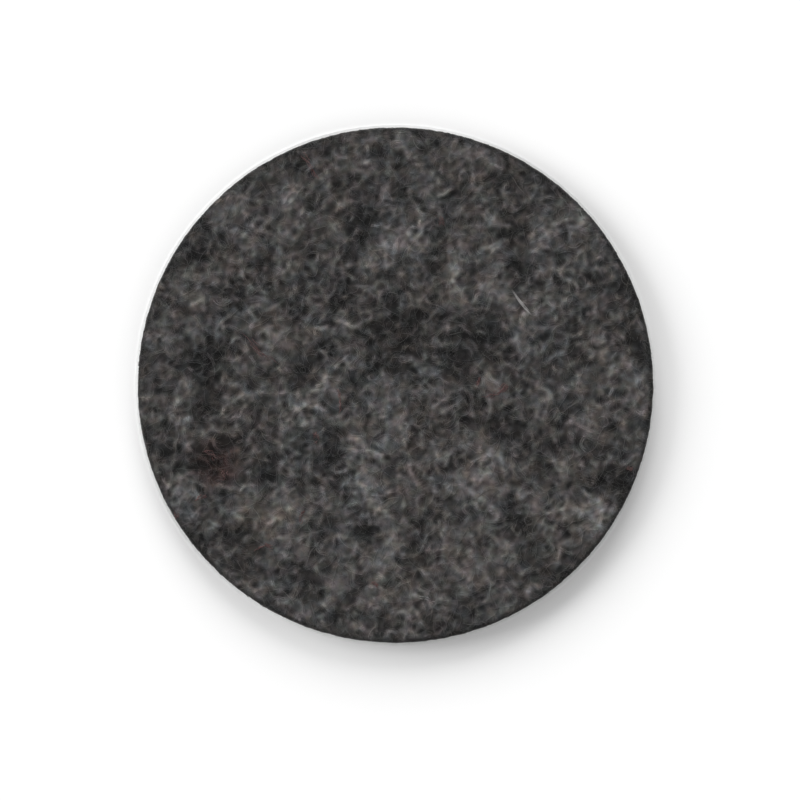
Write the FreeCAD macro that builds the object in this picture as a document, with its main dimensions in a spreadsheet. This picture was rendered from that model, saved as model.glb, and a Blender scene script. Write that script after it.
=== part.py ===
"""Self-adhesive felt polishing wheel for a lapidary flat lap or cabbing machine.

The wheel has no bore. It is a laminated disc, 6 inches across, that sticks to a flat spinning plate:
pressed wool felt on top, then a double-coated tape (adhesive, polyester film, adhesive), then a
silicone-coated paper release liner. The liner is cut in two halves by a straight slit across its middle,
and it stands a little proud of the felt all round, so that a fingernail catches it. Both halves are
pulled off before the wheel is stuck to its plate, so each half is a piece of its own.

Frame: millimetres. +Z is the wheel's axis and points out of the polishing face. The origin is the centre
of the liner's outer face, on which the wheel lies.
"""

import FreeCAD, Part
import math
import os
import sys

import Sketcher
from FreeCAD import Vector

PARTS_FOLDER = "parts"
SHEET = "Dimensions"

# Driving dimensions in millimetres. Each name is the alias of a cell in the document's spreadsheet.
DIMENSIONS = {
    "felt_diameter": (152.4, "6 inch wheel, the common size of flat laps and cabbing plates"),
    "felt_thickness": (6.35, "quarter inch pressed wool felt"),
    "shoulder_round": (0.9, "softened edge of the polishing face"),
    "heel_round": (0.3, "edge drawn in by the die, next to the tape"),
    "tape_setback": (0.4, "how far the tape lies inside the felt's side, all round"),
    "adhesive_coat": (0.08, "each of the tape's two acrylic adhesive coats"),
    "film_gauge": (0.05, "polyester film between the coats"),
    "liner_gauge": (0.15, "silicone-coated kraft paper"),
    "liner_overhang": (1.3, "how far the liner stands proud of the felt, all round"),
    "slit_width": (0.2, "gap between the liner's two halves"),
}

# Sizes that follow from those above, as expressions of the sheet's cells.
FELT_RADIUS = f"{SHEET}.felt_diameter / 2"
TAPE_RADIUS = f"{SHEET}.felt_diameter / 2 - {SHEET}.tape_setback"
LINER_RADIUS = f"{SHEET}.felt_diameter / 2 + {SHEET}.liner_overhang"
PLATE_COAT_BASE = f"{SHEET}.liner_gauge"
FILM_BASE = f"{PLATE_COAT_BASE} + {SHEET}.adhesive_coat"
FELT_COAT_BASE = f"{FILM_BASE} + {SHEET}.film_gauge"
FELT_BASE = f"{FELT_COAT_BASE} + {SHEET}.adhesive_coat"

# A sketch is drawn at this size, and takes its real one when its dimensions are bound to the sheet.
DRAFT_RADIUS = 10.0
DRAFT_OFFSET = 1.0


def make_sheet(doc):
    """The spreadsheet that drives every size: name, value and note in each row."""
    sheet = doc.addObject("Spreadsheet::Sheet", SHEET)
    for row, (alias, (value, note)) in enumerate(DIMENSIONS.items(), start=1):
        sheet.set(f"A{row}", alias)
        sheet.set(f"B{row}", str(value))
        sheet.set(f"C{row}", note)
        sheet.setAlias(f"B{row}", alias)
    doc.recompute()


def new_layer(doc, label, base_height=None):
    """A body whose underside lies at a height, given as an expression, or at Z 0."""
    body = doc.addObject("PartDesign::Body", label)
    body.Label = label
    if base_height:
        body.setExpression("Placement.Base.z", base_height)
    return body


def new_sketch(body):
    """A sketch of a layer's outline, on the body's own XY plane."""
    sketch = body.newObject("Sketcher::SketchObject", f"{body.Label}_outline")
    floor_plane = next(f for f in body.Origin.OriginFeatures if f.Role == "XY_Plane")
    sketch.AttachmentSupport = [(floor_plane, "")]
    sketch.MapMode = "FlatFace"
    return sketch


def drive(sketch, constraint, name, expression):
    """Adds a dimension to a sketch and binds its value to an expression."""
    number = sketch.addConstraint(constraint)
    sketch.renameConstraint(number, name)
    sketch.setExpression(f"Constraints.{name}", expression)


def pad(body, sketch, gauge):
    """Extrudes a sketch upwards by a thickness, given as an expression."""
    feature = body.newObject("PartDesign::Pad", f"{body.Label}_pad")
    feature.Profile = sketch
    feature.setExpression("Length", gauge)


def make_disc(doc, label, radius, gauge, base_height):
    """A round layer about the axis."""
    body = new_layer(doc, label, base_height)
    sketch = new_sketch(body)
    sketch.addGeometry(Part.Circle(Vector(0, 0, 0), Vector(0, 0, 1), DRAFT_RADIUS), False)
    sketch.addConstraint(Sketcher.Constraint("Coincident", 0, 3, -1, 1))
    drive(sketch, Sketcher.Constraint("Radius", 0, DRAFT_RADIUS), "outline_radius", radius)
    pad(body, sketch, gauge)
    return body


def round_edge(doc, body, on_top, radius, name):
    """Rounds the circular edge of a disc's top or bottom face."""
    doc.recompute()
    tip = body.Tip
    outline = tip.Shape.BoundBox
    level = outline.ZMax if on_top else outline.ZMin
    flatness = 1e-6
    edges = [
        f"Edge{number}"
        for number, edge in enumerate(tip.Shape.Edges, start=1)
        if max(abs(edge.BoundBox.ZMin - level), abs(edge.BoundBox.ZMax - level)) < flatness
    ]
    fillet = body.newObject("PartDesign::Fillet", name)
    fillet.Base = (tip, edges)
    fillet.setExpression("Radius", radius)


def make_felt(doc):
    """The felt, with a soft shoulder at the polishing face and a small heel at the tape."""
    body = make_disc(doc, "felt_disc", FELT_RADIUS, f"{SHEET}.felt_thickness", FELT_BASE)
    round_edge(doc, body, True, f"{SHEET}.shoulder_round", "shoulder")
    round_edge(doc, body, False, f"{SHEET}.heel_round", "heel")
    return body


def make_tape(doc):
    """The double-coated tape, from the plate's side up: adhesive, film, adhesive."""
    coat = f"{SHEET}.adhesive_coat"
    return [
        make_disc(doc, "plate_side_adhesive", TAPE_RADIUS, coat, PLATE_COAT_BASE),
        make_disc(doc, "carrier_film", TAPE_RADIUS, f"{SHEET}.film_gauge", FILM_BASE),
        make_disc(doc, "felt_side_adhesive", TAPE_RADIUS, coat, FELT_COAT_BASE),
    ]


def make_liner_half(doc, label, side):
    """Half of the paper liner, on the +X side (side 1) or the -X side (side -1) of the slit.

    The outline is an arc about the axis, closed by a chord along the slit.
    """
    body = new_layer(doc, label)
    sketch = new_sketch(body)
    circle = Part.Circle(Vector(0, 0, 0), Vector(0, 0, 1), DRAFT_RADIUS)
    middle = 0.0 if side > 0 else math.pi
    # The drafted arc is a little short of half a turn, so that its ends are on the half's own side.
    reach = 0.98 * math.pi / 2
    arc = Part.ArcOfCircle(circle, middle - reach, middle + reach)
    sketch.addGeometry(arc, False)
    sketch.addGeometry(Part.LineSegment(arc.EndPoint, arc.StartPoint), False)
    sketch.addConstraint(Sketcher.Constraint("Coincident", 0, 3, -1, 1))
    sketch.addConstraint(Sketcher.Constraint("Coincident", 0, 2, 1, 1))
    sketch.addConstraint(Sketcher.Constraint("Coincident", 1, 2, 0, 1))
    sketch.addConstraint(Sketcher.Constraint("Vertical", 1))
    drive(sketch, Sketcher.Constraint("Radius", 0, DRAFT_RADIUS), "outline_radius", LINER_RADIUS)
    chord_offset = Sketcher.Constraint("DistanceX", -1, 1, 1, 1, side * DRAFT_OFFSET)
    drive(sketch, chord_offset, "chord_offset", f"{side} * {SHEET}.slit_width / 2")
    pad(body, sketch, f"{SHEET}.liner_gauge")
    return body


def check(doc, bodies):
    """Stops the script if any object failed or any layer isn't one valid solid."""
    for item in doc.Objects:
        if {"Invalid", "Error"} & set(item.State):
            sys.exit(f"{item.Label} failed: {item.State}")
    for body in bodies:
        shape = body.Shape
        if shape.isNull() or not shape.isValid() or len(shape.Solids) != 1:
            sys.exit(f"{body.Label} isn't one valid solid")


def export(bodies):
    """Writes each layer to its own STEP file and prints its size."""
    os.makedirs(PARTS_FOLDER, exist_ok=True)
    for body in bodies:
        body.Shape.exportStep(os.path.join(PARTS_FOLDER, f"{body.Label}.step"))
        box = body.Shape.optimalBoundingBox()
        print(
            f"{body.Label}: {box.XLength:.2f} x {box.YLength:.2f} x {box.ZLength:.2f} mm, "
            f"from Z {box.ZMin:.3f}, {body.Shape.Volume:.1f} mm3"
        )


def main():
    doc = FreeCAD.newDocument("felt_polishing_wheel")
    make_sheet(doc)
    bodies = [
        make_felt(doc),
        *make_tape(doc),
        make_liner_half(doc, "liner_left_half", -1),
        make_liner_half(doc, "liner_right_half", 1),
    ]
    doc.recompute()
    check(doc, bodies)
    export(bodies)


main()
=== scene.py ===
"""Looks of the felt polishing wheel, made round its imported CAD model.

The felt is a closed body with a lumpy face, a rounded shoulder and a layered cut side. Modelled fibres
lie on it: bundles of curling wool and single hairs on the face, fibres pressed into the shoulder and the
side, a few dyed locks, one pale lock, and loose fuzz. The paper liner is two thin sheets whose proud rims
lift a little. The tape's layers keep their CAD shapes and get materials.

Lengths are in metres, in the CAD model's frame. The wool's tone is 0 at its middle grey, and higher where
it is paler.
"""

import math

import bpy
import numpy as np
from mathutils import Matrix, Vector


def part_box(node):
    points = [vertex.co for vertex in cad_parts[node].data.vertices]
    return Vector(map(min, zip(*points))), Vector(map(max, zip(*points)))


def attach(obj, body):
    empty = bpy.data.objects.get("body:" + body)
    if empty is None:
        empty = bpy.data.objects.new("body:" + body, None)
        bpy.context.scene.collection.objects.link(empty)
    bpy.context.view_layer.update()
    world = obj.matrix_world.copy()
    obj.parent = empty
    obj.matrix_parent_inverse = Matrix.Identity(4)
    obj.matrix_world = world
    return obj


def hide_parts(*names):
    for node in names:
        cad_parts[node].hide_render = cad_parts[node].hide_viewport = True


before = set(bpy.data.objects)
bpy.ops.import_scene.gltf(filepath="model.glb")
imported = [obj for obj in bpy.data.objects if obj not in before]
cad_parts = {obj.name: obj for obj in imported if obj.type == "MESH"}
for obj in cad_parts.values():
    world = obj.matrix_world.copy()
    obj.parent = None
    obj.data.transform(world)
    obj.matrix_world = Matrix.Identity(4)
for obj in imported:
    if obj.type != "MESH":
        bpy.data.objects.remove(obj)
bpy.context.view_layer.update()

MM = 0.001
TURN = 2 * math.pi

# Sizes read from the CAD model.
FELT_LOW, FELT_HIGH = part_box("felt_disc")
FELT_RADIUS = (FELT_HIGH[0] - FELT_LOW[0]) / 2
FELT_BASE, FELT_TOP = FELT_LOW[2], FELT_HIGH[2]
LINER_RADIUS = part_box("liner_right_half")[1][0]
LINER_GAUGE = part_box("liner_right_half")[1][2]
SLIT_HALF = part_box("liner_right_half")[0][0]

# Radii of the felt's rounded upper and lower edges, how far its mean face lies below the CAD's, and the
# distance over the upper edge's bend.
SHOULDER = 0.9 * MM
HEEL = 0.3 * MM
FACE_SINK = 0.1 * MM
BEND_LENGTH = math.pi / 2 * SHOULDER

# How wide a band of the face the lumps flatten over, next to the cut edge.
CALM_BAND = 2 * MM

# Rings of points on the felt body: across the face, round the shoulder, down the side and round the heel.
FACE_RINGS = 164
SHOULDER_RINGS = 5
SIDE_RINGS = 10
HEEL_RINGS = 3

# How far the liner's proud rim curls up. The slit is a knife cut, so it is narrower here than in the CAD.
RIM_LIFT = 0.10 * MM
SHEET_SLIT_HALF = 0.3 * SLIT_HALF

# The liner's points: along the round edge, and from the slit out to that edge.
LINER_ROWS = 220
LINER_COLUMNS = 26

# The map of the face's wool: its cell size, its cells along one side and the strokes it is painted with.
# Detail finer than one spread and broader than the other is taken out of it.
MAP_PITCH = 0.25 * MM
MAP_SIDE = 624
STROKE_COUNT = 33000
FINEST_SPREAD = 0.38 * MM
BROADEST_SPREAD = 2.0 * MM

# Layers of smooth ripples: the depth of each, its wavelength in millimetres, its seed and how many waves it
# sums. Drifts and streaks are depths of tone, and lumps and layers are depths in millimetres.
FACE_DRIFTS = [(0.10, 36, 11, 26), (0.24, 20, 12, 26), (0.48, 12, 13, 60), (0.22, 7.5, 14, 60)]
SIDE_STREAKS = [(0.5, 2.2, 33, 60), (0.4, 1.0, 34, 80)]
FACE_LUMPS = [(0.05, 18, 21, 26), (0.04, 8, 22, 26)]
SIDE_LAYERS = [(0.035, 1.3, 31, 26), (0.02, 0.7, 32, 26)]

# How much a distance round the wheel counts for the side's streaks and layers, which are long and flat.
STREAK_STRETCH = 0.3
LAYER_STRETCH = 0.25

# How high the painted strokes stand in the face, and how far the whole side stands out, in millimetres.
STROKE_HEIGHT = 0.12
SIDE_STAND = 0.05

# How many fibres of each kind are strewn. Those that run off their part of the felt are then dropped.
HAIR_COUNT = 2900
SIDE_FIBRE_COUNT = 2000
RIM_FIBRE_COUNT = 2400
EDGE_FUZZ_COUNT = 900
FACE_FUZZ_COUNT = 2200

# How many fibres make up one bundle and one dyed lock, and how many sides a fibre's tube has.
BUNDLE_STRANDS = 4
LOCK_FIBRES = 10
FIBRE_SIDES = 3

# The layers of wool bundles: name, seed, and how high the bundles may rise.
CURL_LAYERS = [
    ("lowest_curls", 41, 0.05 * MM),
    ("lower_curls", 42, 0.10 * MM),
    ("upper_curls", 43, 0.16 * MM),
    ("highest_curls", 44, 0.22 * MM),
]

# How far the map's curls, each bundle's own shade and the patches move the wool's tone.
WEAVE_DEPTH = 0.74
BUNDLE_SPREAD = 0.75
PATCH_DEPTH = 1.12

# How much paler the bundles, the hairs and the fuzz are than the wool under them.
BUNDLE_PALENESS = 0.15
HAIR_PALENESS = 0.6
FUZZ_PALENESS = 0.3

# How wide a band of the face is darkened at the cut edge, and by how much tone: painted shade for the
# rounded shoulder.
EDGE_BAND = 1.3 * MM
EDGE_PAINTED_SHADE = 2.8

# Patches of the face where pale or dark wool gathers: x, y and radius in millimetres, then strength, which
# is below 0 for dark wool.
PATCHES = [
    (-32, 55, 6, 1.0), (-45, 50, 7, 1.1), (6, 52, 5, 0.8), (4, 41, 6, 1.2), (26, 31, 7, 0.8),
    (54, 35, 6, 0.7), (42, 22, 6, 1.0), (60, 10, 5, 0.8), (-28, -7, 6, 1.2), (-8, -17, 6, 1.2),
    (-6, -33, 6, 1.2), (-8, -50, 5, 0.9), (-32, -38, 7, 1.3), (-46, -37, 5, 1.0), (-68, -32, 6, 1.3),
    (24, -29, 9, 1.2), (8, -26, 5, 0.8), (58, -37, 7, 1.3), (46, -39, 5, 0.6), (22, -55, 7, 1.0),
    (22, 72, 6, 1.1), (-66, 34, 6, 1.0), (-36, 13, 5, 0.7), (-67, -9, 4, 0.5), (1, -4, 9, 0.5),
    (52, 52, 7, 0.3), (72, -14, 5, 0.5), (54, -5, 8, 0.3), (0, -61, 12, 0.4), (0, 15, 8, -1.9),
    (16, 11, 8, -1.1), (28, 13, 8, -1.0), (-16, 27, 6, -1.1), (-26, 28, 5, -0.7), (-11, 49, 5, -1.5),
    (31, 56, 5, -1.4), (67, 28, 7, -1.6), (74, 10, 4, -2.0), (-57, 42, 7, -1.5), (-54, -22, 7, -1.8),
    (-36, -25, 5, -1.4), (-22, -24, 6, -0.8), (-52, 6, 6, -1.0), (-64, 5, 6, -0.8), (-56, -4, 7, -0.7),
    (-28, 4, 4, -0.8), (42, -18, 6, -1.1), (30, -8, 7, -0.7), (66, -28, 7, -1.3), (-50, -48, 7, -1.1),
    (-30, -53, 5, -0.6), (52, 12, 4, -0.6), (38, 30, 4, -0.6), (-30, 66, 5, -1.1), (-16, 63, 4, -0.8),
    (18, -70, 6, -1.1), (44, -53, 9, -0.6), (-70, -20, 5, -1.0), (34, -36, 4, -0.6), (8, -46, 5, -0.3),
    (38, 66, 5, -0.6),
]

# Locks of dyed wool: x, y in millimetres, heading in degrees, then length and bow in millimetres.
DYED_LOCKS = [
    (-25.6, 64.6, -54, 10.5, 0.8), (-40.1, 11.3, -43, 15.0, -0.7), (-17.0, -4.7, -88, 8.5, 0.6),
    (-23.8, -15.7, -84, 4.5, 0.3), (-27.8, -39.1, -115, 4.6, -0.3), (-38.3, -49.3, -4, 7.0, 1.6),
    (29.6, -1.6, 28, 9.0, -0.9), (24.8, 1.2, 70, 3.0, 0.2), (13.2, 48.9, -70, 4.0, 0.4),
    (69.4, -25.1, 20, 2.5, 0.3), (-6.0, -59.2, -30, 2.5, 0.2), (-65.3, -38.5, -60, 2.6, 0.3),
    (-55.0, -20.5, -35, 5.0, 0.6), (-50.5, -27.0, -80, 4.5, -0.4), (-57.5, -33.5, 30, 4.0, 0.4),
]

# Tinted patches: x, y and radius in millimetres, then the tint and how strong it is at the middle.
TINTED_PATCHES = [
    (-53, -23, 11, (1.4, 0.74, 0.64, 1), 0.9),
    (-41, -39, 13, (1.06, 0.97, 0.86, 1), 0.8),
]

# The one pale lock, of coarse kemp: its middle in millimetres, its heading, how high it rises, how thick
# its fibres are, and how far past the middle they are brightest, as a share of their length.
KEMP_PLACE = (37.4, 24.5)
KEMP_HEADING = math.radians(-51)
KEMP_RISE = 0.45 * MM
KEMP_THICKNESS = 0.25 * MM
KEMP_BRIGHTEST = 0.06

# The pale lock's fibres: length, shift aside, slip along the lock and bow in millimetres, then brightness.
KEMP_FIBRES = [
    (10.5, 0.0, 0.0, -0.25, 1.0),
    (9.0, 0.24, -0.7, -0.2, 0.8),
    (8.5, -0.24, 0.6, -0.3, 0.9),
]

# How far the floor reaches from the middle, and how far it lies below the liner.
FLOOR_REACH = 40.0
FLOOR_GAP = 0.02 * MM

# The two lights: the bearings they shine from, anticlockwise from +X, then the elevation, spread and
# strength that they share.
LIGHT_BEARINGS = (math.radians(94.3), math.radians(161.1))
LIGHT_ELEVATION = math.radians(22.3)
LIGHT_SPREAD = math.radians(40)
LIGHT_STRENGTH = 2.7

# The camera: its lens in millimetres, how wide a view it has of the face, and its place over the wheel.
FOCAL_LENGTH = 180
VIEW_WIDTH = 236.9 * MM
CAMERA_X, CAMERA_Y = 1.35 * MM, -4.41 * MM


# ---------------------------------------------------------------- geometry


def toward(angle):
    """Flat vectors of length 1 at some angles."""
    return np.stack([np.cos(angle), np.sin(angle)], -1)


def left_of(ahead):
    """Flat vectors turned a quarter anticlockwise."""
    return np.stack([-ahead[..., 1], ahead[..., 0]], -1)


def unit(vectors):
    """Vectors scaled to a length of 1. A vector of 0 stays 0."""
    return vectors / (np.linalg.norm(vectors, axis=-1, keepdims=True) + 1e-12)


def from_axis(places):
    """How far places are from the wheel's axis."""
    return np.hypot(places[..., 0], places[..., 1])


def with_height(flat, height):
    """Flat places lifted to a height each."""
    return np.concatenate([flat, height[..., None]], -1)


def arch(points):
    """A steep rise from 0 at a path's first point to 1 at its middle, and the same fall to its last."""
    return np.sin(math.pi * np.linspace(0, 1, points)) ** 0.5


# ---------------------------------------------------------------- fields


def ripples(places, wavelength, seed, waves):
    """A smooth random field over flat places, with a mean of 0, a spread of 1 and about this wavelength."""
    rng = np.random.default_rng(seed)
    heading = rng.uniform(0, TURN, waves)
    number = TURN / (wavelength * rng.uniform(0.75, 1.35, waves))
    waves_xy = (number[:, None] * toward(heading)).T
    return np.sin(places @ waves_xy + rng.uniform(0, TURN, waves)).sum(-1) * math.sqrt(2 / waves)


def layered(places, layers):
    """The sum of some layers of ripples."""
    total = 0.0
    for depth, wavelength, seed, waves in layers:
        total = total + depth * ripples(places, wavelength * MM, seed, waves)
    return total


def lengths(rng, low, high, shape):
    """Even random lengths between two limits in millimetres."""
    return rng.uniform(low, high, shape) * MM


def wavering(rng, steps, stiffness, mean_spread, wave_spread, waves):
    """A value that wavers along each of some paths: a random mean and a few random waves.

    stiffness has one number for each path. The stiffer a path is, the less it wavers.
    """
    along = np.linspace(0, 1, steps)
    value = rng.normal(0, mean_spread, stiffness.shape) / stiffness
    for wave in waves:
        depth = rng.normal(0, wave_spread, stiffness.shape) / stiffness
        value = value + depth * np.sin(TURN * wave * along + rng.uniform(0, TURN, stiffness.shape))
    return value


def curls(rng, start, length, curl, steps):
    """Curling flat paths from given starts. curl is the radius of a typical bend in each path."""
    bend = wavering(rng, steps, curl, 1, 0.8, (1.0, 2.3))
    stride = length[:, None] / (steps - 1)
    heading = rng.uniform(0, TURN, curl.shape) + np.cumsum(bend * stride, 1)
    return start[:, None] + np.cumsum(toward(heading) * stride[..., None], 1)


def strew_strokes(seed, count):
    """Wool strokes strewn over the map, lowest first: path, tone, half width and cover of each."""
    rng = np.random.default_rng(seed)
    reach = MAP_PITCH * MAP_SIDE / 2
    start = rng.uniform(-reach, reach, (count, 2))
    length = np.clip(1.2 + rng.exponential(2.0, count), 1.2, 9) * MM
    paths = curls(rng, start, length, lengths(rng, 1.0, 6.0, (count, 1)), steps=12)
    # Tone rises from the lowest stroke to the topmost: painted shade that deepens on the lower strokes, with
    # each stroke's own random tone on top.
    tone = np.linspace(-0.3, 0.3, count) + rng.normal(0, 0.9, count)
    return paths, tone, lengths(rng, 0.23, 0.57, count), rng.uniform(0.35, 0.7, count)


def paint(paths, tone, half_width, cover, ground=-0.8, soft_edge=2.2, blunt=0.12):
    """Paints strokes over one another on a square map, in order. A stroke thins out towards both ends.

    ground is the bare map's tone: the wool's own dark grey, with painted shade in the pits between strokes.
    soft_edge is how far out a stroke is painted, in half widths. blunt is 0 for strokes that fade away at
    their ends, and 0.5 for strokes that don't fade.
    """
    grid = np.full((MAP_SIDE, MAP_SIDE), ground)
    cell = (np.arange(MAP_SIDE) - MAP_SIDE / 2 + 0.5) * MAP_PITCH
    for path, own, half, share in zip(paths, tone, half_width, cover):
        low, high = path.min(0) - soft_edge * half, path.max(0) + soft_edge * half
        rows = slice(*np.searchsorted(cell, (low[0], high[0])))
        columns = slice(*np.searchsorted(cell, (low[1], high[1])))
        x, y = cell[rows, None, None], cell[None, columns, None]
        if not x.size or not y.size:
            continue
        step = np.diff(path, axis=0)
        from_x, from_y, step_x, step_y = x - path[:-1, 0], y - path[:-1, 1], step[:, 0], step[:, 1]
        along = np.clip((from_x * step_x + from_y * step_y) / (step**2).sum(1), 0, 1)
        away = (from_x - along * step_x) ** 2 + (from_y - along * step_y) ** 2
        share_along = (away.argmin(-1) + 0.5) / len(step)
        fade = np.sin(math.pi * (blunt + (1 - 2 * blunt) * share_along))
        hide = share * fade * np.exp(-away.min(-1) / half**2)
        grid[rows, columns] += hide * (own - grid[rows, columns])
    return grid


def soften(grid, spread):
    """Blurs a map by a Gaussian of this spread."""
    wave = np.fft.fftfreq(MAP_SIDE, MAP_PITCH)
    keep = np.exp(-2 * (math.pi * spread) ** 2 * (wave[:, None] ** 2 + wave[None] ** 2))
    return np.fft.ifft2(np.fft.fft2(grid) * keep).real


def evened(grid, fine, broad):
    """The detail of a map between two spreads, with a mean of 0 and a spread of 1."""
    detail = soften(grid, fine) - soften(grid, broad)
    return (detail - detail.mean()) / detail.std()


# The wool map: strokes of pale and dark wool, with painted shade on the lower strokes and in the pits
# between them.
STROKES = strew_strokes(seed=3, count=STROKE_COUNT)
WOOL_MAP = evened(paint(*STROKES), FINEST_SPREAD, BROADEST_SPREAD)


def look_up(grid, places):
    """A map's value at any places, between its cells too."""
    at = np.clip(places / MAP_PITCH + MAP_SIDE / 2 - 0.5, 0, MAP_SIDE - 2)
    low = at.astype(int)
    share = at - low
    total = 0.0
    for step_x in (0, 1):
        for step_y in (0, 1):
            weight_x = share[..., 0] if step_x else 1 - share[..., 0]
            weight_y = share[..., 1] if step_y else 1 - share[..., 1]
            total = total + weight_x * weight_y * grid[low[..., 0] + step_x, low[..., 1] + step_y]
    return total


def cloud(places):
    """The tone of the wool over the face, with painted shade: the map's lower strokes and pits are darker,
    and a band at the cut edge is darkened for the rounded shoulder.
    """
    drift = layered(places, FACE_DRIFTS)
    for x, y, radius, strength in PATCHES:
        away = np.hypot(places[..., 0] - x * MM, places[..., 1] - y * MM) / (radius * MM)
        drift = drift + PATCH_DEPTH * strength * np.exp(-(away**2))
    # Painted shade: a band of the face at the cut edge is darkened, for the rounded shoulder.
    into = np.clip((from_axis(places) - FELT_RADIUS) / EDGE_BAND + 1, 0, 1)
    return WEAVE_DEPTH * look_up(WOOL_MAP, places) + drift - EDGE_PAINTED_SHADE * into


def side_cloud(angle, height):
    """The tone of the wool over the cut side, in long flat streaks."""
    unrolled = np.stack([angle * FELT_RADIUS * STREAK_STRETCH, height], -1)
    return layered(unrolled, SIDE_STREAKS) + 0.4 * np.sin(angle * 3 + 1) * np.sin(angle * 7)


def lumps(places):
    """Height of the lumpy face above its mean plane."""
    return (layered(places, FACE_LUMPS) + STROKE_HEIGHT * look_up(WOOL_MAP, places)) * MM


def shoulder_drop(radius):
    """How far the rounded shoulder lies below the face at a distance from the axis."""
    into = np.clip(radius - (FELT_RADIUS - SHOULDER), 0, SHOULDER)
    return SHOULDER - np.sqrt(SHOULDER**2 - into**2)


def edge_lumps(places):
    """Height of the lumps, which flatten towards the cut edge."""
    return np.clip((FELT_RADIUS - from_axis(places)) / CALM_BAND, 0.25, 1) * lumps(places)


def face_height(places):
    """Height of the felt's top surface."""
    return FELT_TOP - FACE_SINK + edge_lumps(places) - shoulder_drop(from_axis(places))


def side_swell(angle, height):
    """How far the cut side stands out from the felt's radius, with long flat layers."""
    unrolled = np.stack([angle * FELT_RADIUS * LAYER_STRETCH, height], -1)
    return (layered(unrolled, SIDE_LAYERS) + SIDE_STAND) * MM


# ---------------------------------------------------------------- meshes


def add_to_scene(name, data):
    """A new object in the scene."""
    made = bpy.data.objects.new(name, data)
    bpy.context.scene.collection.objects.link(made)
    return made


def new_piece(name, corners, faces, material, attributes=None):
    """A smooth-shaded mesh object, with float attributes on its points."""
    mesh = bpy.data.meshes.new(name)
    mesh.from_pydata(corners.tolist(), [], faces)
    mesh.polygons.foreach_set("use_smooth", [True] * len(mesh.polygons))
    for title, values in (attributes or {}).items():
        layer = mesh.attributes.new(title, "FLOAT", "POINT")
        layer.data.foreach_set("value", np.ascontiguousarray(values, np.float32).ravel())
    mesh.materials.append(material)
    mesh.validate()
    return add_to_scene(name, mesh)


def ring_faces(upper, lower, count):
    """Quads that face out between two rings of as many points, given each ring's first point."""
    here, after = np.arange(count), np.roll(np.arange(count), -1)
    return np.stack([lower + here, lower + after, upper + after, upper + here], 1).tolist()


def disc_faces(rings):
    """Triangles of a disc whose ring number k has 6 k points, round one middle point."""
    start = [0] + [1 + 3 * k * (k - 1) for k in range(1, rings + 1)]
    faces = []
    for k in range(1, rings + 1):
        inner = max(6 * (k - 1), 1)
        for sector in range(6):
            for step in range(k):
                outer_a = start[k] + sector * k + step
                outer_b = start[k] + (sector * k + step + 1) % (6 * k)
                inner_a = start[k - 1] + (sector * (k - 1) + step) % inner
                faces.append((inner_a, outer_a, outer_b))
                if step < k - 1:
                    inner_b = start[k - 1] + (sector * (k - 1) + step + 1) % inner
                    faces.append((inner_a, outer_b, inner_b))
    return faces


def felt_rings():
    """Radius and height of each ring below the face: the shoulder, the cut side and the heel."""
    side_top, side_foot = FELT_TOP - FACE_SINK - SHOULDER, FELT_BASE + HEEL
    rings = []
    for lean in np.linspace(0, math.pi / 2, SHOULDER_RINGS + 1)[1:]:
        rings.append((FELT_RADIUS - SHOULDER * (1 - math.sin(lean)), side_top + SHOULDER * math.cos(lean)))
    for height in np.linspace(side_top, side_foot, SIDE_RINGS + 1)[1:]:
        rings.append((FELT_RADIUS, height))
    for lean in np.linspace(0, math.pi / 2, HEEL_RINGS + 1)[1:]:
        rings.append((FELT_RADIUS - HEEL * (1 - math.cos(lean)), side_foot - HEEL * math.sin(lean)))
    return rings


def make_felt_body(material):
    """The felt itself: a closed body with a lumpy face and a layered side."""
    flat_radius = FELT_RADIUS - SHOULDER
    places = [np.zeros((1, 2))]
    for ring in range(1, FACE_RINGS + 1):
        angle = np.arange(6 * ring) / (6 * ring) * TURN
        places.append(flat_radius * ring / FACE_RINGS * toward(angle))
    places = np.concatenate(places)
    corners = [with_height(places, face_height(places))]
    tones = [cloud(places)]
    faces = disc_faces(FACE_RINGS)

    count = 6 * FACE_RINGS
    angle = np.arange(count) / count * TURN
    last = len(places) - count
    for radius, height in felt_rings():
        level = np.full(count, height)
        flat = toward(angle) * (radius + side_swell(angle, level))[:, None]
        corners.append(with_height(flat, level))
        depth = min((FELT_TOP - FACE_SINK - height) / SHOULDER, 1)
        tones.append((1 - depth) * cloud(flat) + depth * side_cloud(angle, level))
        faces += ring_faces(last, last + count, count)
        last += count
    faces.append(tuple(range(last + count - 1, last - 1, -1)))
    tones = np.concatenate(tones)
    return new_piece("felt_body", np.concatenate(corners), faces, material, {"cloud": tones})


# ---------------------------------------------------------------- fibres


def cut_off(paths, limit, points):
    """Ends each path where it first leaves a circle, then spaces this many points evenly along it."""
    outside = from_axis(paths) > limit
    steps = paths.shape[1]
    last = np.where(outside.any(1), outside.argmax(1) - 1, steps - 1)
    keep = last > steps // 4
    paths, last = paths[keep], last[keep]
    at = np.linspace(0, 1, points)[None] * last[:, None]
    low = np.minimum(at.astype(int), steps - 2)
    share = (at - low)[..., None]
    row = np.arange(len(paths))[:, None]
    return paths[row, low] * (1 - share) + paths[row, low + 1] * share


def scatter(rng, count, limit):
    """Even random places on a disc."""
    radius = limit * np.sqrt(rng.uniform(0, 1, count))
    return radius[:, None] * toward(rng.uniform(0, TURN, count))


def thinned(steps, points):
    """Which of a path's steps to keep, for this many points spaced evenly from end to end."""
    return np.linspace(0, steps - 1, points).round().astype(int)


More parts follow.
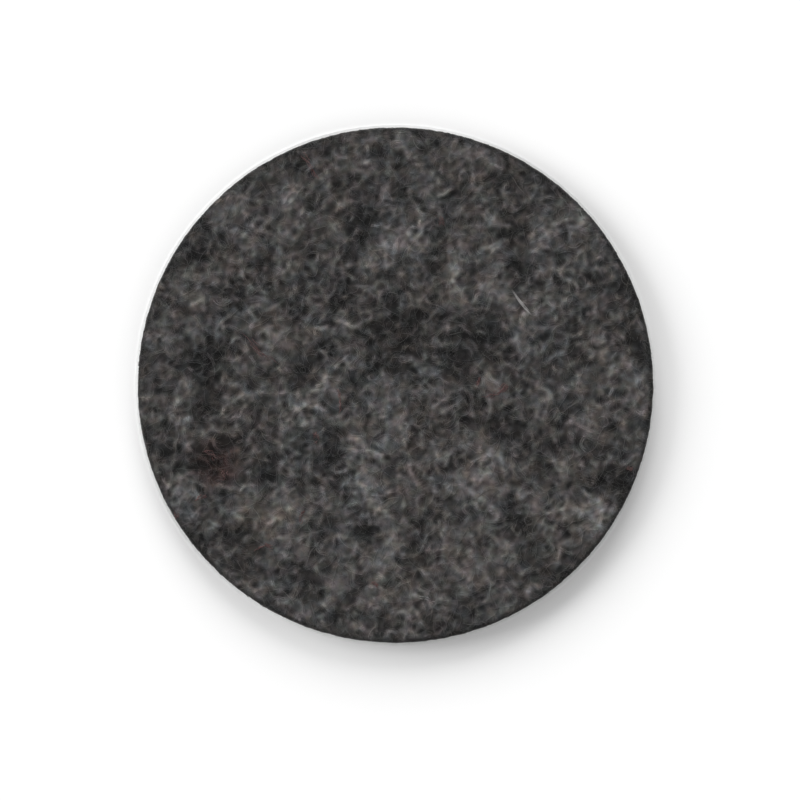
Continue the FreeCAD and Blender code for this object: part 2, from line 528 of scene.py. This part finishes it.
def tubes(paths, outward, thickness, flatness):
    """Points and faces of closed tubes that taper at both ends.

    outward is the surface's normal at every point, and flatness is a tube's height over its width.
    """
    count, points = paths.shape[:2]
    ahead = unit(np.gradient(paths, axis=1))
    across = unit(np.cross(ahead, outward))
    over = np.cross(across, ahead)
    taper = 1 - 0.8 * np.abs(np.linspace(-1, 1, points)) ** 5
    reach = (np.reshape(thickness, (-1, 1)) / 2 * taper)[..., None]
    rings = []
    for side in range(FIBRE_SIDES):
        turn = TURN * side / FIBRE_SIDES + math.pi / 2
        rings.append(paths + reach * (math.cos(turn) * across + flatness * math.sin(turn) * over))
    corners = np.stack(rings, 2).reshape(-1, 3)

    base = np.arange(count * points).reshape(count, points) * FIBRE_SIDES
    here = base[:, :-1].reshape(-1, 1)
    faces = []
    for side in range(FIBRE_SIDES):
        near, far = here + side, here + (side + 1) % FIBRE_SIDES
        faces += np.concatenate([near, near + FIBRE_SIDES, far + FIBRE_SIDES, far], 1).tolist()
    around = np.arange(FIBRE_SIDES)
    faces += (base[:, :1] + around).tolist()
    faces += (base[:, -1:] + around[::-1]).tolist()
    return corners, faces


def fibre_piece(name, paths, outward, thickness, tone, material, flatness=1.0):
    """One piece made of many fibres. Each fibre has one tone, or one at every point."""
    corners, faces = tubes(paths, outward, thickness, flatness)
    tones = np.repeat(np.broadcast_to(tone, paths.shape[:2]).ravel(), FIBRE_SIDES)
    return new_piece(name, corners, faces, material, {"tone": tones})


def laid_on_face(rng, flat, rise, bury=0.08 * MM):
    """Lifts flat paths on to the face: the ends dive in and the middle rides over other fibres."""
    count, points = flat.shape[:2]
    along = np.linspace(0, 1, points)
    weave = 0.06 * MM * np.sin(TURN * 3 * along + rng.uniform(0, TURN, (count, 1)))
    return with_height(flat, face_height(flat) + np.reshape(rise, (-1, 1)) * arch(points) + weave - bury)


def up(paths):
    """The face's normal, for every point of some paths."""
    return np.broadcast_to(np.array([0.0, 0.0, 1.0]), paths.shape)


def local_tone(rng, paths, spread):
    """The tone of fibres: the wool's tone under every point, painted shade included, and a little of each
    fibre's own.
    """
    return cloud(paths[..., :2]) + rng.normal(0, spread, (len(paths), 1))


def beside_line(place, heading, way, sideways):
    """A flat path, from how far its points lie along and left of a line, all in millimetres."""
    ahead = toward(heading)
    return (np.array(place) + way[:, None] * ahead + sideways[:, None] * left_of(ahead)) * MM


def top_strokes():
    """Paths of the map's pale strokes that little covers and that are long enough for fibres."""
    paths, tone = STROKES[:2]
    length = np.linalg.norm(np.diff(paths, axis=1), axis=2).sum(1)
    near_top = np.arange(len(paths)) / len(paths) > 0.55
    on_face = from_axis(paths[:, paths.shape[1] // 2]) < FELT_RADIUS
    return paths[near_top & (tone > 0.15) & (length > 2.1 * MM) & on_face]


def make_bundles(name, seed, middle, rise, material, points=9):
    """Bundles of wool along some flat paths, of fine strands that lie loosely side by side."""
    rng = np.random.default_rng(seed)
    middle = cut_off(middle, FELT_RADIUS - 0.15 * MM, points)
    count = len(middle)
    across = left_of(unit(np.gradient(middle, axis=1)))
    along = np.linspace(0, 1, points)
    width = lengths(rng, 0.25, 0.45, (count, 1))
    fray = 1 + 0.9 * np.abs(2 * along - 1) ** 3
    twist = rng.uniform(0.3, 0.8, (count, 1))
    phase = rng.uniform(0, TURN, (count, 1))
    lift = rng.uniform(0.4, 1.0, count) * rise
    strands = []
    for strand in range(BUNDLE_STRANDS):
        swing = np.sin(TURN * (twist * along + strand / BUNDLE_STRANDS) + phase)
        strands.append(laid_on_face(rng, middle + (width * fray * swing)[..., None] * across, lift))
    paths = np.concatenate(strands)
    tone = local_tone(rng, paths, 0.2) + BUNDLE_PALENESS
    thickness = lengths(rng, 0.13, 0.22, len(paths))
    tone = tone + np.tile(rng.normal(0, BUNDLE_SPREAD, (count, 1)), (BUNDLE_STRANDS, 1))
    return fibre_piece(name, paths, up(paths), thickness, tone, material, 0.7)


def make_hairs(material, points=10):
    """Single fine hairs that lie over the face, paler than the wool under them."""
    rng = np.random.default_rng(45)
    limit = FELT_RADIUS - 0.1 * MM
    start = scatter(rng, HAIR_COUNT, limit)
    length = lengths(rng, 4, 10, HAIR_COUNT)
    curl = lengths(rng, 1.2, 5, (HAIR_COUNT, 1))
    flat = cut_off(curls(rng, start, length, curl, steps=48), limit, points)
    paths = laid_on_face(rng, flat, lengths(rng, 0.16, 0.38, len(flat)))
    tone = local_tone(rng, paths, 0.5) + HAIR_PALENESS
    thickness = lengths(rng, 0.08, 0.16, len(paths))
    return fibre_piece("fine_hairs", paths, up(paths), thickness, tone, material)


def make_dyed(material, points=12):
    """Small broken locks of dyed wool, of short fine fibres."""
    rng = np.random.default_rng(51)
    along = np.linspace(-0.5, 0.5, points)
    flat = []
    for x, y, heading, length, bow in DYED_LOCKS:
        for _ in range(LOCK_FIBRES):
            share = along * rng.uniform(0.25, 0.5) + rng.uniform(-0.35, 0.35)
            wave = 0.2 * np.sin(TURN * rng.uniform(0.8, 1.8) * along + rng.uniform(0, TURN))
            sideways = rng.normal(0, 0.42) + bow * (1 - 4 * share**2) + wave
            flat.append(beside_line((x, y), math.radians(heading), share * length, sideways))
    paths = laid_on_face(rng, np.stack(flat), lengths(rng, 0.12, 0.28, len(flat)))
    tone = rng.normal(0, 1, (len(flat), 1))
    thickness = lengths(rng, 0.12, 0.24, len(flat))
    return fibre_piece("dyed_fibres", paths, up(paths), thickness, tone, material)


def make_kemp(material, points=14):
    """A lock of coarse, nearly straight, pale fibres that fade and dive into the wool at both ends."""
    rng = np.random.default_rng(52)
    along = np.linspace(-0.5, 0.5, points)
    flat, tones = [], []
    for length, shift, slip, bow, bright in KEMP_FIBRES:
        sideways = shift + bow * (1 - 4 * along**2)
        flat.append(beside_line(KEMP_PLACE, KEMP_HEADING, along * length + slip, sideways))
        tones.append(bright * np.cos(math.pi * np.clip(along - KEMP_BRIGHTEST, -0.5, 0.5)))
    paths = laid_on_face(rng, np.stack(flat), np.full(len(flat), KEMP_RISE))
    thickness = np.full(len(flat), KEMP_THICKNESS)
    return fibre_piece("kemp_fibres", paths, up(paths), thickness, np.stack(tones), material, 0.6)


def make_side_fibres(material, points=14):
    """Fibres pressed flat in the cut side, running mostly round it."""
    rng = np.random.default_rng(61)
    count, steps = SIDE_FIBRE_COUNT, 30
    length = lengths(rng, 2.5, 9, count)
    tilt = wavering(rng, steps, np.ones((count, 1)), 0.16, 0.35, (1.0, 2.6))
    stride = length[:, None] / (steps - 1)
    round_way = rng.uniform(0, TURN * FELT_RADIUS, (count, 1)) + np.cumsum(np.cos(tilt) * stride, 1)
    low, high = FELT_BASE + 0.25 * MM, FELT_TOP - 0.5 * MM
    height = rng.uniform(low, high, (count, 1)) + np.cumsum(np.sin(tilt) * stride, 1)
    keep = ((height > low) & (height < high)).all(1)
    pick = thinned(steps, points)
    angle, height = round_way[keep][:, pick] / FELT_RADIUS, height[keep][:, pick]

    count = len(angle)
    stand = lengths(rng, 0.0, 0.16, (count, 1)) * arch(points) - 0.04 * MM
    outward = with_height(toward(angle), np.zeros_like(angle))
    paths = outward * (FELT_RADIUS + side_swell(angle, height) + stand)[..., None]
    paths[..., 2] = height
    tone = rng.normal(0, 1.1, (count, 1))
    thickness = lengths(rng, 0.08, 0.2, count)
    return fibre_piece("side_fibres", paths, outward, thickness, tone, material, 0.8)


def over_shoulder(angle, down):
    """Points of the felt's surface near the shoulder, and its normals there.

    down is how far along the surface a point lies past the face's flat part.
    """
    lean = np.clip(down / SHOULDER, 0, math.pi / 2)
    past_bend = np.maximum(down - BEND_LENGTH, 0)
    radius = FELT_RADIUS - SHOULDER + np.minimum(down, 0) + SHOULDER * np.sin(lean)
    flat = toward(angle) * radius[..., None]
    height = FELT_TOP - FACE_SINK - SHOULDER * (1 - np.cos(lean)) - past_bend
    height = height + edge_lumps(flat) * np.cos(lean)
    outward = with_height(toward(angle) * np.sin(lean)[..., None], np.cos(lean))
    swell = toward(angle) * (side_swell(angle, height) * np.sin(lean))[..., None]
    return with_height(flat + swell, height), outward


def make_rim_fibres(material, points=10):
    """Fibres that curl over the rounded shoulder, from the face to the cut side."""
    rng = np.random.default_rng(65)
    count, steps = RIM_FIBRE_COUNT, 28
    start_down = rng.uniform(-1.2 * MM, BEND_LENGTH + 0.8 * MM, count)
    start = np.stack([rng.uniform(0, TURN * FELT_RADIUS, count), start_down], -1)
    curl = lengths(rng, 0.8, 4, (count, 1))
    paths = curls(rng, start, lengths(rng, 1.5, 5, count), curl, steps)
    margin = 2.2 * MM
    keep = ((paths[..., 1] > -margin) & (paths[..., 1] < BEND_LENGTH + margin)).all(1)
    paths = paths[keep][:, thinned(steps, points)]
    places, outward = over_shoulder(paths[..., 0] / FELT_RADIUS, paths[..., 1])

    count = len(paths)
    stand = lengths(rng, 0.02, 0.18, (count, 1)) * arch(points) - 0.03 * MM
    tone = rng.normal(-0.7, 0.9, (count, 1))
    thickness = lengths(rng, 0.07, 0.17, count)
    paths = places + outward * stand[..., None]
    return fibre_piece("rim_fibres", paths, outward, thickness, tone, material, 0.8)


def fuzz_at_edge(rng):
    """Roots and directions of the loose hairs on the shoulder and the side."""
    angle = rng.uniform(0, TURN, EDGE_FUZZ_COUNT)
    height = rng.uniform(FELT_BASE + 0.6 * MM, FELT_TOP - 0.25 * MM, EDGE_FUZZ_COUNT)
    root = with_height(toward(angle) * (FELT_RADIUS - 0.15 * MM), height)
    way = with_height(toward(angle), rng.normal(0.15, 0.5, EDGE_FUZZ_COUNT))
    way[:, :2] += rng.normal(0, 0.9, (EDGE_FUZZ_COUNT, 2))
    return root, way


def fuzz_on_face(rng):
    """Roots and directions of the loose hairs on the face."""
    flat = scatter(rng, FACE_FUZZ_COUNT, FELT_RADIUS - 0.4 * MM)
    way = rng.normal(0, 1, (FACE_FUZZ_COUNT, 3))
    way[:, 2] = np.abs(way[:, 2]) * 0.35 + 0.1
    return with_height(flat, face_height(flat)), way


def make_fuzz(material, points=7):
    """Short loose hairs that stand out from the shoulder, the side and the face."""
    rng = np.random.default_rng(71)
    edge_root, edge_way = fuzz_at_edge(rng)
    face_root, face_way = fuzz_on_face(rng)
    root, way = np.concatenate([edge_root, face_root]), unit(np.concatenate([edge_way, face_way]))
    edge_length = lengths(rng, 0.3, 0.8, EDGE_FUZZ_COUNT)
    face_length = lengths(rng, 0.6, 1.5, FACE_FUZZ_COUNT)
    length = np.concatenate([edge_length, face_length])
    along = np.linspace(0, 1, points)[None, :, None]
    hook = (rng.normal(0, 0.5, root.shape) * (1, 1, 0.3))[:, None]
    paths = root[:, None] + length[:, None, None] * (way[:, None] * along + hook * along**2)

    # Keeps the hairs within the liner's rim, and above it.
    room = FELT_RADIUS + 0.4 * MM
    paths[..., :2] *= np.minimum(1, room / from_axis(paths))[..., None]
    paths[..., 2] = np.maximum(paths[..., 2], FELT_BASE + 0.3 * MM)

    tone = local_tone(rng, paths, 0.6) + FUZZ_PALENESS
    tone[:EDGE_FUZZ_COUNT] = rng.normal(-0.6, 0.6, (EDGE_FUZZ_COUNT, 1))
    thickness = lengths(rng, 0.035, 0.06, len(paths))
    return fibre_piece("loose_fuzz", paths, up(paths), thickness, tone, material)


# ---------------------------------------------------------------- liner


def sheet_faces(rows, columns):
    """Faces of a closed sheet: a grid of points below, the same grid above, and the edge between them."""
    total = rows * columns
    cell = np.arange(total).reshape(rows, columns)
    bottom = np.stack([cell[:-1, :-1], cell[1:, :-1], cell[1:, 1:], cell[:-1, 1:]], -1).reshape(-1, 4)
    top = bottom[:, ::-1] + total
    loop = np.concatenate([cell[:, 0], cell[-1, 1:], cell[-2::-1, -1], cell[0, -2:0:-1]])
    following = np.roll(loop, -1)
    edge = np.stack([following, loop, loop + total, following + total], 1)
    return np.concatenate([bottom, top, edge])


def make_liner_half(name, side, material):
    """One half of the paper liner, a thin closed sheet whose proud rim ripples and lifts a little.

    side is -1 for the left half and 1 for the right. The points lie closer together towards the rim.
    """
    turn = np.linspace(-math.pi / 2, math.pi / 2, LINER_ROWS)
    rim_x = np.maximum(LINER_RADIUS * np.cos(turn), SHEET_SLIT_HALF)
    share = np.linspace(0, 1, LINER_COLUMNS) ** 0.5
    x = SHEET_SLIT_HALF + (rim_x[:, None] - SHEET_SLIT_HALF) * share
    y = np.broadcast_to(LINER_RADIUS * np.sin(turn)[:, None], x.shape)
    lift_start = FELT_RADIUS - 0.3 * MM
    proud = np.maximum(np.hypot(x, y) - lift_start, 0) / (LINER_RADIUS - FELT_RADIUS)
    angle = np.arctan2(y, side * x)
    ripple = 0.7 + 0.2 * np.sin(7 * angle + 1) + 0.1 * np.sin(17 * angle + 2)
    under = np.stack([side * x, y, RIM_LIFT * proud**2 * ripple], -1).reshape(-1, 3)
    over = under + np.array([0, 0, LINER_GAUGE])
    faces = sheet_faces(LINER_ROWS, LINER_COLUMNS)
    if side < 0:
        faces = faces[:, ::-1]
    piece = new_piece(name, np.concatenate([under, over]), faces.tolist(), material)
    piece.data.set_sharp_from_angle(angle=math.radians(40))
    return piece


# ---------------------------------------------------------------- materials


def add_node(tree, kind, inputs=None, **settings):
    """A shader node. Each input is a value, or the socket that feeds it."""
    made = tree.nodes.new("ShaderNode" + kind)
    for name, value in settings.items():
        setattr(made, name, value)
    for name, value in (inputs or {}).items():
        if isinstance(value, bpy.types.NodeSocket):
            tree.links.new(value, made.inputs[name])
        else:
            made.inputs[name].default_value = value
    return made


def new_material(name, **sockets):
    """A material, its node tree and its Principled shader, with plain values on the shader's sockets."""
    material = bpy.data.materials.new(name)
    material.use_nodes = True
    tree = material.node_tree
    shader = tree.nodes["Principled BSDF"]
    for title, value in sockets.items():
        shader.inputs[title.replace("_", " ")].default_value = value
    return material, tree, shader


def object_place(tree):
    """Places in the object's own frame, in metres."""
    return add_node(tree, "TexCoord").outputs["Object"]


def attribute(tree, name):
    """The value of a mesh attribute."""
    return add_node(tree, "Attribute", attribute_name=name).outputs["Fac"]


def noise(tree, place, scale, detail=2.0, roughness=0.5, distortion=0.0):
    """A noise texture's value, from 0 to 1 about 0.5."""
    shape = {"Scale": scale, "Detail": detail, "Roughness": roughness, "Distortion": distortion}
    return add_node(tree, "TexNoise", {"Vector": place, **shape}).outputs["Fac"]


def maths(tree, operation, a, b=0.0):
    """The result of a sum on sockets or numbers."""
    return add_node(tree, "Math", {0: a, 1: b}, operation=operation).outputs[0]


def add_share(tree, level, value, share):
    """A level plus a share of a value."""
    return maths(tree, "ADD", level, maths(tree, "MULTIPLY", value, share))


def distance(tree, place, point):
    """How far places are from a point."""
    return add_node(tree, "VectorMath", {0: place, 1: point}, operation="DISTANCE").outputs["Value"]


def remap(tree, value, low, high, new_low=0.0, new_high=1.0):
    """Maps low..high to new_low..new_high smoothly, and clamps it."""
    limits = {"From Min": low, "From Max": high, "To Min": new_low, "To Max": new_high}
    made = add_node(tree, "MapRange", {"Value": value, **limits}, interpolation_type="SMOOTHSTEP")
    return made.outputs["Result"]


def blend_colour(tree, factor, a, b, mode="MIX"):
    """Colour a turning into colour b."""
    made = add_node(tree, "Mix", {0: factor, 6: a, 7: b}, data_type="RGBA", blend_type=mode)
    return made.outputs[2]


def ramp(tree, value, stops):
    """A colour ramp through (position, colour) stops."""
    made = add_node(tree, "ValToRGB", {"Fac": value})
    band = made.color_ramp
    while len(band.elements) < len(stops):
        band.elements.new(0.5)
    for element, (position, colour) in zip(band.elements, stops):
        element.position = position
        element.color = (*colour, 1)
    return made.outputs["Color"]


def paint_from(tree, shader, colour):
    """Feeds the shader's colour from a socket."""
    tree.links.new(colour, shader.inputs["Base Color"])


def bump(tree, shader, height, depth, strength):
    """Feeds the shader's normal from a height, which stands for this depth in metres."""
    made = add_node(tree, "Bump", {"Height": height, "Distance": depth, "Strength": strength})
    tree.links.new(made.outputs["Normal"], shader.inputs["Normal"])


def curl_lines(tree, place, scale, shift, width):
    """Thin curling lines, 1 on a line and 0 between lines."""
    moved = add_node(tree, "Mapping", {"Vector": place, "Location": shift}).outputs["Vector"]
    value = noise(tree, moved, scale, detail=1.0, distortion=1.6)
    away = maths(tree, "ABSOLUTE", maths(tree, "SUBTRACT", value, 0.5))
    return remap(tree, away, 0.0, width, 1.0, 0.0)


# How tone becomes a level on the wool's colour ramp: the level of a tone of 0, on the fibres and on the
# felt body, and how far a step of tone moves it.
TONE_STEP = 1 / 8
FIBRE_LEVEL = 0.5
FELT_LEVEL = 0.478

# Wool colours, linear, at their levels on the ramp.
WOOL = [
    (0.125, (0.0043, 0.0041, 0.0040)),
    (0.250, (0.0102, 0.0097, 0.0095)),
    (0.375, (0.0224, 0.0212, 0.0208)),
    (0.500, (0.0418, 0.0395, 0.0385)),
    (0.625, (0.0683, 0.0647, 0.0630)),
    (0.750, (0.1020, 0.0967, 0.0941)),
    (0.875, (0.1450, 0.1375, 0.1336)),
    (1.000, (0.1990, 0.1890, 0.1835)),
]

# What every wool material's shader shares.
WOOL_SHADER = {"Roughness": 0.9, "Specular_IOR_Level": 0.12, "Sheen_Weight": 0.12, "Sheen_Roughness": 0.5}

# Faint drifts of the wool's tint: the noise's scale, then how far red and blue move.
TINT_DRIFTS = [(50, 0.02, 0.014), (110, 0.035, 0.02), (300, 0.09, 0.01), (390, 0.0, 0.07)]


def tinted(tree, place, colour):
    """Wool colour with faint reddish drifts, and rusty and tan patches."""
    for scale, red, blue in TINT_DRIFTS:
        drift = remap(tree, noise(tree, place, scale), 0.3, 0.7)
        tint = blend_colour(tree, drift, (1 - red, 1.0, 1 + blue, 1), (1 + red, 1.0, 1 - blue, 1))
        colour = blend_colour(tree, 1.0, colour, tint, "MULTIPLY")
    for x, y, radius, tint, amount in TINTED_PATCHES:
        away = distance(tree, place, (x * MM, y * MM, FELT_TOP))
        near = remap(tree, away, 0.0, radius * MM, amount, 0.0)
        colour = blend_colour(tree, near, colour, tint, "MULTIPLY")
    return colour


def felt_material():
    """Pressed wool under the modelled fibres: the wool's tone with its painted shade, thin curling lines and
    fine grain.
    """
    material, tree, shader = new_material("wool_felt_body", **WOOL_SHADER)
    place = object_place(tree)
    coarse = curl_lines(tree, place, 240, (0.0, 0.0, 0.0), 0.04)
    fine = curl_lines(tree, place, 420, (0.31, 0.17, 0.05), 0.05)
    grain = noise(tree, place, 1500, 3.0, 0.6)
    level = add_share(tree, FELT_LEVEL, attribute(tree, "cloud"), TONE_STEP)
    level = add_share(tree, level, coarse, 0.04)
    level = add_share(tree, level, fine, 0.04)
    level = add_share(tree, level, maths(tree, "SUBTRACT", grain, 0.5), 0.13)
    paint_from(tree, shader, tinted(tree, place, ramp(tree, level, WOOL)))
    height = add_share(tree, maths(tree, "MULTIPLY", coarse, 0.6), fine, 0.4)
    bump(tree, shader, maths(tree, "ADD", height, grain), 0.16 * MM, 0.7)
    return material


def fibre_material():
    """Wool fibre of its own tone, drifting a little along its length. On the face that tone carries the
    painted shade of the wool under it.
    """
    material, tree, shader = new_material("wool_fibre", **WOOL_SHADER)
    place = object_place(tree)
    drift = maths(tree, "SUBTRACT", noise(tree, place, 420), 0.5)
    level = add_share(tree, FIBRE_LEVEL, attribute(tree, "tone"), TONE_STEP)
    level = add_share(tree, level, drift, 0.12)
    paint_from(tree, shader, tinted(tree, place, ramp(tree, level, WOOL)))
    bump(tree, shader, noise(tree, place, 4000), 0.03 * MM, 0.5)
    return material


def dyed_material():
    """Dull red and pink dyed wool."""
    material, tree, shader = new_material("dyed_wool", **WOOL_SHADER)
    level = add_share(tree, 0.3, noise(tree, object_place(tree), 500), 0.3)
    level = add_share(tree, level, attribute(tree, "tone"), 0.2)
    stops = [(0.0, (0.045, 0.018, 0.017)), (0.5, (0.090, 0.042, 0.040)), (1.0, (0.155, 0.085, 0.080))]
    paint_from(tree, shader, ramp(tree, level, stops))
    return material


def kemp_material():
    """Coarse pale fibre, a little glossier than the rest, and as grey as the wool where its tone is 0."""
    material, tree, shader = new_material("kemp_wool", Roughness=0.55, Specular_IOR_Level=0.3)
    streak = noise(tree, object_place(tree), 900)
    pale = ramp(tree, streak, [(0.3, (0.32, 0.31, 0.305)), (0.7, (0.44, 0.43, 0.425))])
    paint_from(tree, shader, blend_colour(tree, attribute(tree, "tone"), (0.055, 0.052, 0.05, 1), pale))
    return material


def paper_material():
    """White silicone-coated kraft paper, with a faint cloudy fibre formation."""
    shine = {"Specular_IOR_Level": 0.4, "Coat_Weight": 0.25, "Coat_Roughness": 0.25}
    material, tree, shader = new_material("release_paper", Roughness=0.42, **shine)
    place = object_place(tree)
    stops = [(0.3, (0.80, 0.805, 0.80)), (0.7, (0.89, 0.895, 0.89))]
    paint_from(tree, shader, ramp(tree, noise(tree, place, 500, 4.0, 0.65), stops))
    bump(tree, shader, noise(tree, place, 1800, 3.0, 0.6), 0.02 * MM, 0.4)
    return material


def adhesive_material():
    """Clear acrylic adhesive, faintly amber and milky."""
    material, tree, shader = new_material("acrylic_adhesive", Roughness=0.3, Specular_IOR_Level=0.5)
    place = object_place(tree)
    stops = [(0.3, (0.52, 0.47, 0.34)), (0.7, (0.66, 0.61, 0.48))]
    paint_from(tree, shader, ramp(tree, noise(tree, place, 260, 3.0, 0.6), stops))
    bump(tree, shader, noise(tree, place, 700), 0.03 * MM, 0.4)
    return material


def film_material():
    """Glossy polyester film with faint drawn streaks."""
    material, tree, shader = new_material("polyester_film", Specular_IOR_Level=0.55)
    stretch = {"Vector": object_place(tree), "Scale": (1.0, 0.08, 1.0)}
    streak = noise(tree, add_node(tree, "Mapping", stretch).outputs["Vector"], 900)
    paint_from(tree, shader, ramp(tree, streak, [(0.3, (0.60, 0.62, 0.63)), (0.7, (0.72, 0.74, 0.75))]))
    tree.links.new(remap(tree, streak, 0.3, 0.7, 0.16, 0.26), shader.inputs["Roughness"])
    return material


def floor_material():
    """Plain pale floor."""
    look = {"Base_Color": (0.78, 0.78, 0.78, 1), "Roughness": 0.9, "Specular_IOR_Level": 0.1}
    return new_material("studio_floor", **look)[0]


# ---------------------------------------------------------------- studio


def make_floor():
    """A plain floor, just below the liner."""
    corners = np.array([(-1, -1, 0), (1, -1, 0), (1, 1, 0), (-1, 1, 0)]) * FLOOR_REACH
    corners[:, 2] = -FLOOR_GAP
    new_piece("studio_floor", corners, [(0, 1, 2, 3)], floor_material())


def make_lights():
    """Two large soft lights, one from the top of the picture and one from its left."""
    for number, bearing in enumerate(LIGHT_BEARINGS):
        softbox = bpy.data.lights.new("softbox_%d" % number, "SUN")
        softbox.energy = LIGHT_STRENGTH
        softbox.angle = LIGHT_SPREAD
        lamp = add_to_scene(softbox.name, softbox)
        lamp.rotation_euler = (0, math.pi / 2 - LIGHT_ELEVATION, bearing)


def make_surroundings():
    """A sky that is white at the horizon and grey overhead, shown in plain colours."""
    world = bpy.data.worlds.new("studio")
    bpy.context.scene.world = world
    world.use_nodes = True
    tree = world.node_tree
    way = add_node(tree, "TexCoord").outputs["Generated"]
    height = add_node(tree, "SeparateXYZ", {0: way}).outputs["Z"]
    sky = ramp(tree, height, [(0.08, (1.0, 1.0, 1.0)), (0.3, (0.68, 0.68, 0.68))])
    tree.links.new(sky, tree.nodes["Background"].inputs["Color"])
    bpy.context.scene.view_settings.view_transform = "Standard"


def make_camera():
    """A long lens straight above the face, a little right of and below the wheel's middle."""
    data = bpy.data.cameras.new("camera")
    data.lens = FOCAL_LENGTH
    camera = add_to_scene("camera", data)
    camera.location = (CAMERA_X, CAMERA_Y, FELT_TOP + VIEW_WIDTH * data.lens / data.sensor_width)
    bpy.context.scene.camera = camera


# ---------------------------------------------------------------- assembly


def dress_node(node, material):
    """Gives a CAD node that keeps its shape a better material."""
    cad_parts[node].data.materials.clear()
    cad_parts[node].data.materials.append(material)


def main():
    """Makes the studio and every piece, and ties the pieces to the CAD model."""
    make_floor()
    make_lights()
    make_surroundings()
    make_camera()

    felt = make_felt_body(felt_material())
    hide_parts("felt_disc")
    wool = [felt]
    fibre = fibre_material()
    pale = top_strokes()
    for number, (name, seed, rise) in enumerate(CURL_LAYERS):
        share = pale[number :: len(CURL_LAYERS)]
        wool.append(make_bundles(name, seed, share, rise, fibre))
    wool.append(make_hairs(fibre))
    wool.append(make_side_fibres(fibre))
    wool.append(make_rim_fibres(fibre))
    wool.append(make_fuzz(fibre))
    wool.append(make_dyed(dyed_material()))
    wool.append(make_kemp(kemp_material()))
    for piece in wool:
        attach(piece, "wheel")

    paper = paper_material()
    for name, side, body in (("liner_left", -1, "liner_left"), ("liner_right", 1, "liner_right")):
        sheet = make_liner_half(name + "_sheet", side, paper)
        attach(sheet, body)
        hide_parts(name + "_half")

    adhesive = adhesive_material()
    dress_node("plate_side_adhesive", adhesive)
    dress_node("felt_side_adhesive", adhesive)
    dress_node("carrier_film", film_material())


main()
